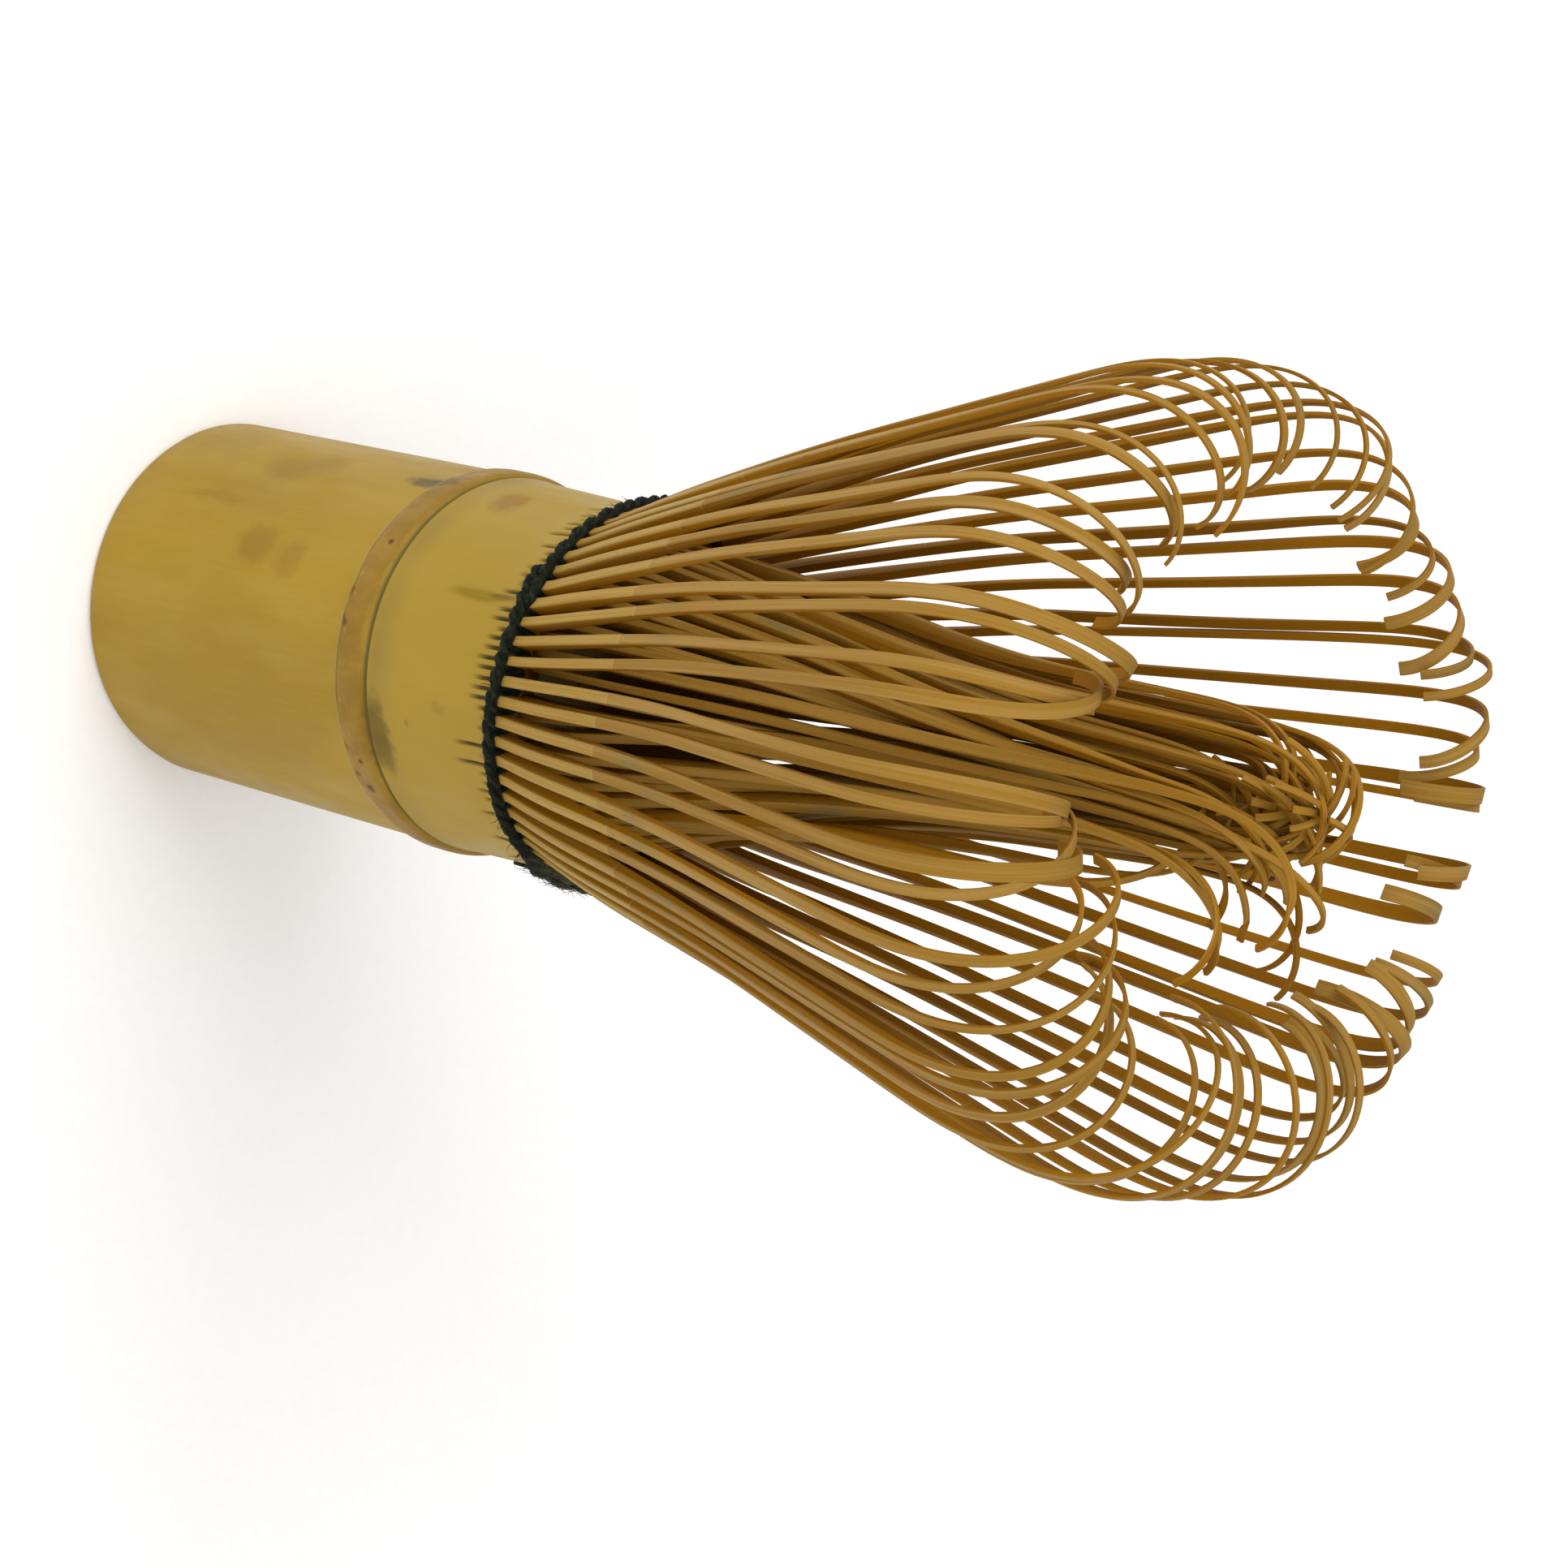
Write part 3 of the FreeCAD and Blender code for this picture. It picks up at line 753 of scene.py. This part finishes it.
def build_knot(settings, material):
    """The finishing knot: a trefoil path pulled tight below the lacing, and its two cut tails.

    The trefoil is (sin t + 2 sin 2t, cos t - 2 cos 2t, -sin 3t), scaled to the knot's size and laid
    against the culm.
    """
    centre = (Vector(KNOT_BOX[0]) + Vector(KNOT_BOX[1])) / 2
    azimuth = math.atan2(centre.y, centre.x)
    distance = math.hypot(centre.x, centre.y)
    level = KNOT_BOX[1].z - 0.75 * MM
    t = np.linspace(0, FULL_TURN, 72, endpoint=False)
    scale = 0.25 * MM
    side = scale * (np.sin(t) + 2 * np.sin(2 * t)) * 1.1
    rise = scale * (np.cos(t) - 2 * np.cos(2 * t))
    out = 0.9 * scale * -np.sin(3 * t) + 0.1 * MM
    path = polar(distance - 0.15 * MM + out, azimuth + side / distance, level + rise)[None]
    knot = round_tube("knot", path, np.full((1, 72), 0.27 * MM), material, 7, True)
    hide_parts("thread_knot")

    u = np.linspace(0, 1, 22)
    lean = np.array([[1.7], [0.4]]) * MM
    bend = np.array([[0.7], [-0.45]]) * MM
    fall = np.array([[6.4], [2.6]]) * MM
    side = lean * u + bend * np.sin(3 * u)
    lift = np.array([[0.12], [0.22]]) * MM * u
    tails = polar(distance - 0.30 * MM + lift, azimuth + side / distance, level - fall * u)
    round_tube("knot_tails", tails, 0.25 * MM * (1 - 0.25 * u ** 3) + 0 * side, material)


# ---------------------------------------------------------------- tines

# the strip's section, corner by corner: which side, how deep, and where its chamfers lie
CORNER_SIDE = np.array([-1, -1, -1, -1, 1, 1, 1, 1])
CORNER_DEPTH = np.array([0, 0, 1, 1, 1, 1, 0, 0])
CHAMFER_SIDE = np.array([1, 0, 0, 1, 1, 0, 0, 1])
CHAMFER_DEPTH = np.array([0, 1, -1, 0, 0, -1, 1, 0])


def place_strips(name, material, path, across, width, depth, twist, length, offset, **marks):
    """Strips of flat section carried along their paths, as one piece.

    path is (strips, samples, 3), the line of each strip's skin face; across is the sideways direction
    at the root of each strip.  The section is an eight-sided rectangle, width wide and depth deep,
    with chamfered corners, turned by twist about the path.  offset moves a strip's grain aside, so
    that no two are alike.  marks are further values per sample.
    """
    along = unit(np.gradient(path, axis=1))
    skin_normal = unit(np.cross(across[:, None, :], along))
    side = np.cross(along, skin_normal)
    turn = twist[..., None]
    normal = skin_normal * np.cos(turn) + side * np.sin(turn)
    side = side * np.cos(turn) - skin_normal * np.sin(turn)
    chamfer = 0.11 * np.minimum(width, depth)[..., None]
    out = CORNER_SIDE * (width[..., None] / 2 - chamfer * CHAMFER_SIDE)
    down = CORNER_DEPTH * depth[..., None] + chamfer * CHAMFER_DEPTH
    grid = path[:, :, None] + out[..., None] * side[:, :, None] - down[..., None] * normal[:, :, None]
    size = grid.shape[:3]
    piece = add_mesh(name, grid, tube_faces(*size), material)
    mesh = piece.data
    ends = np.empty(len(mesh.edges) * 2, int)
    mesh.edges.foreach_get("vertices", ends)
    ends = ends.reshape(-1, 2)
    lengthwise = np.abs(ends[:, 0] - ends[:, 1]) == size[2]
    mesh.attributes.new("sharp_edge", "BOOLEAN", "EDGE").data.foreach_set("value", lengthwise)
    point_values(piece, "skin", np.broadcast_to(1.0 - CORNER_DEPTH, size))
    for key, values in marks.items():
        point_values(piece, key, np.broadcast_to(values[..., None], size))
    point_vectors(piece, "grain", stacked(out + offset[..., None], down, length[..., None]))
    return piece


def place_groups(bodies, per, slot, material, **strips):
    """One piece for each body, from the next few rows of every array, in place of the body's hidden CAD node.
    """
    for group, body in enumerate(bodies):
        rows = slice(group * per, group * per + per)
        own = {key: values[rows] for key, values in strips.items()}
        piece = place_strips(body.replace("tines", "tine_strips"), material, **own)
        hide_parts(body)
        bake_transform(piece)


def directions(count):
    """A column of directions evenly spaced round, and the unit vectors outwards and sideways there."""
    azimuth = ((np.arange(count) + 0.5) * FULL_TURN / count)[:, None]
    outward = np.concatenate([np.cos(azimuth), np.sin(azimuth), 0 * azimuth], 1)
    across = np.concatenate([-np.sin(azimuth), np.cos(azimuth), 0 * azimuth], 1)
    return azimuth, outward, across


def walk(root_radius, root_height, lean, length):
    """Radius and height along each strip: running sums of -sin(lean) and cos(lean) by arc length."""
    step = np.diff(length, axis=1)
    middle = (lean[:, 1:] + lean[:, :-1]) / 2
    none = np.zeros((len(lean), 1))
    radius = root_radius + np.concatenate([none, np.cumsum(-np.sin(middle) * step, 1)], 1)
    height = root_height + np.concatenate([none, np.cumsum(np.cos(middle) * step, 1)], 1)
    return radius, height


def curl(length, start, ramp, curl_radius):
    """Turned angle along a strip whose curvature grows as t^2 over the ramp, then holds.

    The curvature's integral is ramp t^3 / 3R up to the ramp's end, and the arc length beyond it
    over R after that.
    """
    t = np.clip((length - start) / ramp, 0, 1)
    beyond = np.maximum(length - start - ramp, 0)
    return (ramp * t ** 3 / 3 + beyond) / curl_radius


def build_outer(settings, thread, material):
    """The outer tines: flared from the lacing, turned in at the shoulder and curled at the tip.

    The lean is 0 at the root, -flare on the long straight, and rises through the curl.  The flare is
    corrected until each tine is as far out as the bowl asks for in its direction.  near, high, low
    and far are the whisk's four sides, which differ a little, and own_ values are each tine's own.
    """
    per = settings.outer_per_group
    count = per * len(OUTER_BODIES)
    rng = np.random.default_rng(7)
    (own_hook, own_turn, own_ramp, own_start, own_bowl, own_tilt, own_wander, own_shoulder,
     own_tip, own_root, own_depth, own_twist, own_curl, own_shave, own_stain, own_bloom
     ) = rng.uniform(-1, 1, (16, count, 1))
    azimuth, outward, across = directions(count)
    near = around(azimuth, 268, 62)
    high = around(azimuth, 180, 75)
    low = around(azimuth, 352, 80)
    far = around(azimuth, 90, 75)
    far_low = around(azimuth, 45, 65)
    root_height = thread_height(thread, azimuth) - 0.35 * MM
    root_radius = 13.72 * MM
    hook = settings.hook_radius * (1 + 0.14 * own_hook + 0.12 * low - 0.42 * far - 0.24 * high)
    turn = settings.hook_turn + np.radians(14 * own_turn + 26 * low - 16 * high + 6 * near + 8 * far)
    ramp = (20 + 1.8 * own_ramp - 5.5 * far - 2.5 * high) * MM
    lift = 0.9 * own_start + 6.4 * far + 2.4 * far_low - 1.7 * near + 2.2 * high + 1.0 * low
    start_height = settings.shoulder_height + lift * MM
    bowl = BOWL_RADIUS + (0.30 * own_bowl + 0.8 * high) * MM
    flare = np.full((count, 1), math.radians(17))
    grow = np.linspace(0, 1, 104)
    for _ in range(7):
        start = (start_height - root_height) / np.cos(flare)
        total = start + ramp + np.maximum((flare + turn) * hook - ramp / 3, 3 * MM)
        length = total * (1 - (1 - grow) ** 1.5)
        spring = 1 + 0.22 * (1 - smooth(length, 1.5 * MM, 11 * MM))
        lean = -flare * spring * smooth(length, -0.2 * MM, 1.6 * MM) + curl(length, start, ramp, hook)
        radius, height = walk(root_radius, root_height, lean, length)
        widest = radius.max(1, keepdims=True)
        flare = flare * (bowl - root_radius) / (widest - root_radius)
    reach = length / total
    past = smooth(length, start + 0.4 * ramp, total)
    tip = smooth(reach, 0.50, 0.86)
    tilt = np.radians((13 - 7 * high) * own_tilt + 8 * np.sin(2 * azimuth + 1))
    sway = 1.05 * MM * own_wander * smooth(reach, 0.02, 0.72) + np.tan(tilt) * (widest - radius) * past
    path = radius[..., None] * outward[:, None] + sway[..., None] * across[:, None] + height[..., None] * UP
    shoulder_width = 0.78 - 0.06 * near - 0.14 * far + 0.24 * low + 0.06 * high
    shoulder_width = shoulder_width + (0.10 + 0.10 * far) * own_shoulder
    tip_width = np.clip(0.64 + 0.28 * near - 0.16 * high + 0.22 * far + 0.32 * own_tip, 0.34, 1.5)
    root_width = 0.72 + 0.06 * own_root
    width = root_width + (shoulder_width - root_width) * smooth(length, 6 * MM, 32 * MM)
    width = (width + (tip_width - shoulder_width) * tip) * MM
    depth = (1.12 - 0.62 * smooth(length, 3 * MM, 26 * MM) - 0.24 * tip) * (1 + 0.12 * own_depth) * MM
    twist = np.radians(10 * own_twist * smooth(reach, 0.3, 1.0) + 14 * own_curl * past)
    bloom = bump(length, (21.5 + 2.5 * own_stain) * MM, 2.6 * MM) * smooth(own_bloom, -0.25, 0.5)
    tip_bloom = 0.8 * bump(reach, 0.93, 0.05) * smooth(own_shave, 0.55, 0.8)
    place_groups(
        OUTER_BODIES, per, "outer_tines", material, path=path, across=across, width=width, depth=depth,
        twist=twist, length=length, offset=np.arange(count)[:, None] * 7.3 * MM,
        tone=0.5 + 0.5 * rng.uniform(-1, 1, (count, 1)), shave=length - (15.0 + 0.9 * own_shave) * MM,
        bloom=np.maximum(bloom, tip_bloom), reach=reach)


def build_inner(settings, thread, material):
    """The inner tines: leaned in to a closed bundle, where their thin tips curl over each other.

    The lean is 0 at the root, eases off along the tine, and rises through the curl; it is corrected
    until each tine reaches its own place in the bundle where its curl starts.  The tines on the
    drawn side drift across the axis as a power of the way up.  A few strays stand off the bundle
    and end in wide loops.
    """
    per = settings.inner_per_group
    count = per * len(INNER_BODIES)
    rng = np.random.default_rng(23)
    (own_ring, own_stray, own_hook, own_turn, own_ramp, own_start, own_way, own_bow, own_width,
     own_depth, own_twist, own_stain, own_bloom, own_tone) = rng.uniform(-1, 1, (14, count, 1))
    index = np.arange(count)[:, None]
    azimuth, outward, across = directions(count)
    drawn = around(azimuth, 245, 100)
    stray = (rng.uniform(0, 1, (count, 1)) < 0.32 * around(azimuth, 335, 40)) * 1.0
    root_radius = 11.2 * MM
    root_height = thread_height(thread, azimuth) - 0.45 * MM
    layer = (index * 2 % 3) - 1.0
    ring = settings.bundle_radius + (1.1 * layer + 0.5 * own_ring + stray * (5.0 + 1.5 * own_stray)) * MM
    hook = (3.25 + 0.7 * own_hook + 1.0 * stray) * MM
    turn = np.radians(138 + 40 * own_turn + 15 * stray)
    ramp = (11 + 3.0 * own_ramp + 4 * stray) * MM
    start_height = settings.bundle_height + (2.8 * own_start - 7 * stray) * MM
    lean_in = np.full((count, 1), math.radians(9))
    grow = np.linspace(0, 1, 96)
    for _ in range(7):
        start = (start_height - root_height) / np.cos(0.6 * lean_in)
        total = start + ramp + np.maximum((turn - lean_in) * hook - ramp / 3, 2 * MM)
        length = total * (1 - (1 - grow) ** 1.45)
        eased = 1 - 0.8 * smooth(length, 22 * MM, 42 * MM)
        lean = lean_in * eased * smooth(length, 0.5 * MM, 9 * MM) + curl(length, start, ramp, hook)
        radius, height = walk(root_radius, root_height, lean, length)
        at_start = np.take_along_axis(radius, np.abs(length - start).argmin(1)[:, None], 1)
        lean_in = lean_in * (root_radius - ring) / (root_radius - at_start)
    reach = length / total
    way = np.radians(24 * own_way + 8 * np.sin(azimuth * 3))
    downhill = np.concatenate([np.cos(way), np.sin(way), 0 * azimuth], 1)
    swung = (rng.uniform(0, 1, (count, 1)) < 0.13) * 1.0
    curl_way = unit((0.9 - 0.75 * swung) * -outward + (0.25 + 0.75 * swung * (1 - stray)) * downhill)
    drift = (3.4 * drawn * (1 + 0.45 * own_stray) - 0.6) * MM * np.clip(length / start, 0, 1.25) ** 1.15
    bow = 0.8 * MM * own_bow * np.sin(math.pi * np.clip(length / start, 0, 1))
    entered = np.maximum(ring - radius, 0)
    path = (radius + entered)[..., None] * outward[:, None] + bow[..., None] * across[:, None]
    path = path + height[..., None] * UP + drift[..., None] * TO_THE_RIGHT
    path = path + entered[..., None] * curl_way[:, None]
    width = 0.58 + 0.24 * smooth(length, 4 * MM, 22 * MM) - (0.36 + 0.05 * stray) * smooth(reach, 0.60, 0.9)
    place_groups(
        INNER_BODIES, per, "inner_tines", material, path=path, across=across,
        width=width * (1 + 0.16 * own_width) * MM,
        depth=(1.15 - 0.85 * smooth(reach, 0.3, 0.9)) * (1 + 0.12 * own_depth) * MM,
        twist=np.radians(30) * own_twist * smooth(reach, 0.1, 1.0), length=length,
        offset=(index + 100) * 7.3 * MM, tone=0.5 + 0.5 * own_tone, shave=length + 1 * MM,
        bloom=bump(length, (25 + 9 * own_stain) * MM, 3.5 * MM) * smooth(own_bloom, 0.2, 0.6), reach=reach)


# ---------------------------------------------------------------- operators

class WHISK_OT_stage(bpy.types.Operator):
    """Set the floor, the soft light and the camera"""

    bl_idname = "whisk.stage"
    bl_label = "Stage"

    def execute(self, context):
        scene = context.scene
        stage = scene.whisk_stage
        floor = add_mesh("floor", np.array([[-3, -3, 0], [3, -3, 0], [3, 3, 0], [-3, 3, 0.0]]),
                         [[0, 1, 2, 3]], paper_finish())
        world = bpy.data.worlds.new("soft room")
        world.use_nodes = True
        world.node_tree.nodes["Background"].inputs[0].default_value = (1.0, 0.99, 0.98, 1)
        world.node_tree.nodes["Background"].inputs[1].default_value = 0.755
        scene.world = world
        for name, place, size, power in (("high softbox", (-0.75, -0.35, 0.85), 0.9, 7.4),
                                         ("front softbox", (0.45, -0.95, 0.75), 0.9, 4.4)):
            light = bpy.data.lights.new(name, "AREA")
            light.size = size
            light.energy = power
            lamp = bpy.data.objects.new(name, light)
            lamp.location = place
            lamp.rotation_euler = (Vector((0, 0, 0.06)) - Vector(place)).to_track_quat("-Z", "Y").to_euler()
            scene.collection.objects.link(lamp)
        camera = bpy.data.objects.new("camera", bpy.data.cameras.new("camera"))
        camera.data.lens = stage.lens
        camera.data.clip_start = 0.01
        sight = Vector(stage.aim) - Vector(stage.eye)
        turn = sight.to_track_quat("-Z", "Y").to_matrix().to_4x4() @ Matrix.Rotation(stage.roll, 4, "Z")
        camera.matrix_world = Matrix.Translation(stage.eye) @ turn
        scene.collection.objects.link(camera)
        scene.camera = camera
        scene.view_settings.view_transform = "Standard"
        return {"FINISHED"}


class WHISK_OT_culm(bpy.types.Operator):
    """Build the culm: handle, node ridge and slit collar"""

    bl_idname = "whisk.culm"
    bl_label = "Culm"

    def execute(self, context):
        settings = context.scene.whisk_culm
        build_culm(settings, context.scene.whisk_thread, culm_finish(settings))
        return {"FINISHED"}


class WHISK_OT_lacing(bpy.types.Operator):
    """Build the thread laced round the roots of the tines, and its knot"""

    bl_idname = "whisk.lacing"
    bl_label = "Lacing"

    def execute(self, context):
        settings = context.scene.whisk_thread
        material = thread_finish(settings)
        build_lacing(settings, material)
        build_knot(settings, material)
        return {"FINISHED"}


class WHISK_OT_outer_tines(bpy.types.Operator):
    """Build the outer tines"""

    bl_idname = "whisk.outer_tines"
    bl_label = "Outer Tines"

    def execute(self, context):
        settings = context.scene.whisk_tines
        material = tine_finish("outer tine bamboo", settings.skin_colour, settings.core_colour)
        build_outer(settings, context.scene.whisk_thread, material)
        return {"FINISHED"}


class WHISK_OT_inner_tines(bpy.types.Operator):
    """Build the inner tines"""

    bl_idname = "whisk.inner_tines"
    bl_label = "Inner Tines"

    def execute(self, context):
        settings = context.scene.whisk_tines
        skin = tinted(settings.skin_colour, GOLDEN)
        core = tinted(settings.core_colour, (0.92, 0.90, 1.0))
        build_inner(settings, context.scene.whisk_thread, tine_finish("inner tine bamboo", skin, core))
        return {"FINISHED"}


class WHISK_PT_panel(bpy.types.Panel):
    """Lists the builders in the 3D view's sidebar"""

    bl_label = "Tea Whisk"
    bl_space_type = "VIEW_3D"
    bl_region_type = "UI"
    bl_category = "Tea Whisk"

    def draw(self, context):
        for operator in OPERATORS:
            self.layout.operator(operator.bl_idname)


OPERATORS = (WHISK_OT_stage, WHISK_OT_culm, WHISK_OT_lacing, WHISK_OT_outer_tines, WHISK_OT_inner_tines)
SETTINGS = {
    "whisk_culm": WhiskCulmSettings,
    "whisk_tines": WhiskTineSettings,
    "whisk_thread": WhiskThreadSettings,
    "whisk_stage": WhiskStageSettings,
}


def register():
    for cls in (*SETTINGS.values(), *OPERATORS, WHISK_PT_panel):
        bpy.utils.register_class(cls)
    for name, cls in SETTINGS.items():
        setattr(bpy.types.Scene, name, PointerProperty(type=cls))


def unregister():
    for name in SETTINGS:
        delattr(bpy.types.Scene, name)
    for cls in reversed((*SETTINGS.values(), *OPERATORS, WHISK_PT_panel)):
        bpy.utils.unregister_class(cls)


def main():
    register()
    bpy.ops.whisk.stage()
    bpy.ops.whisk.culm()
    bpy.ops.whisk.lacing()
    bpy.ops.whisk.outer_tines()
    bpy.ops.whisk.inner_tines()


if __name__ == "__main__":
    main()
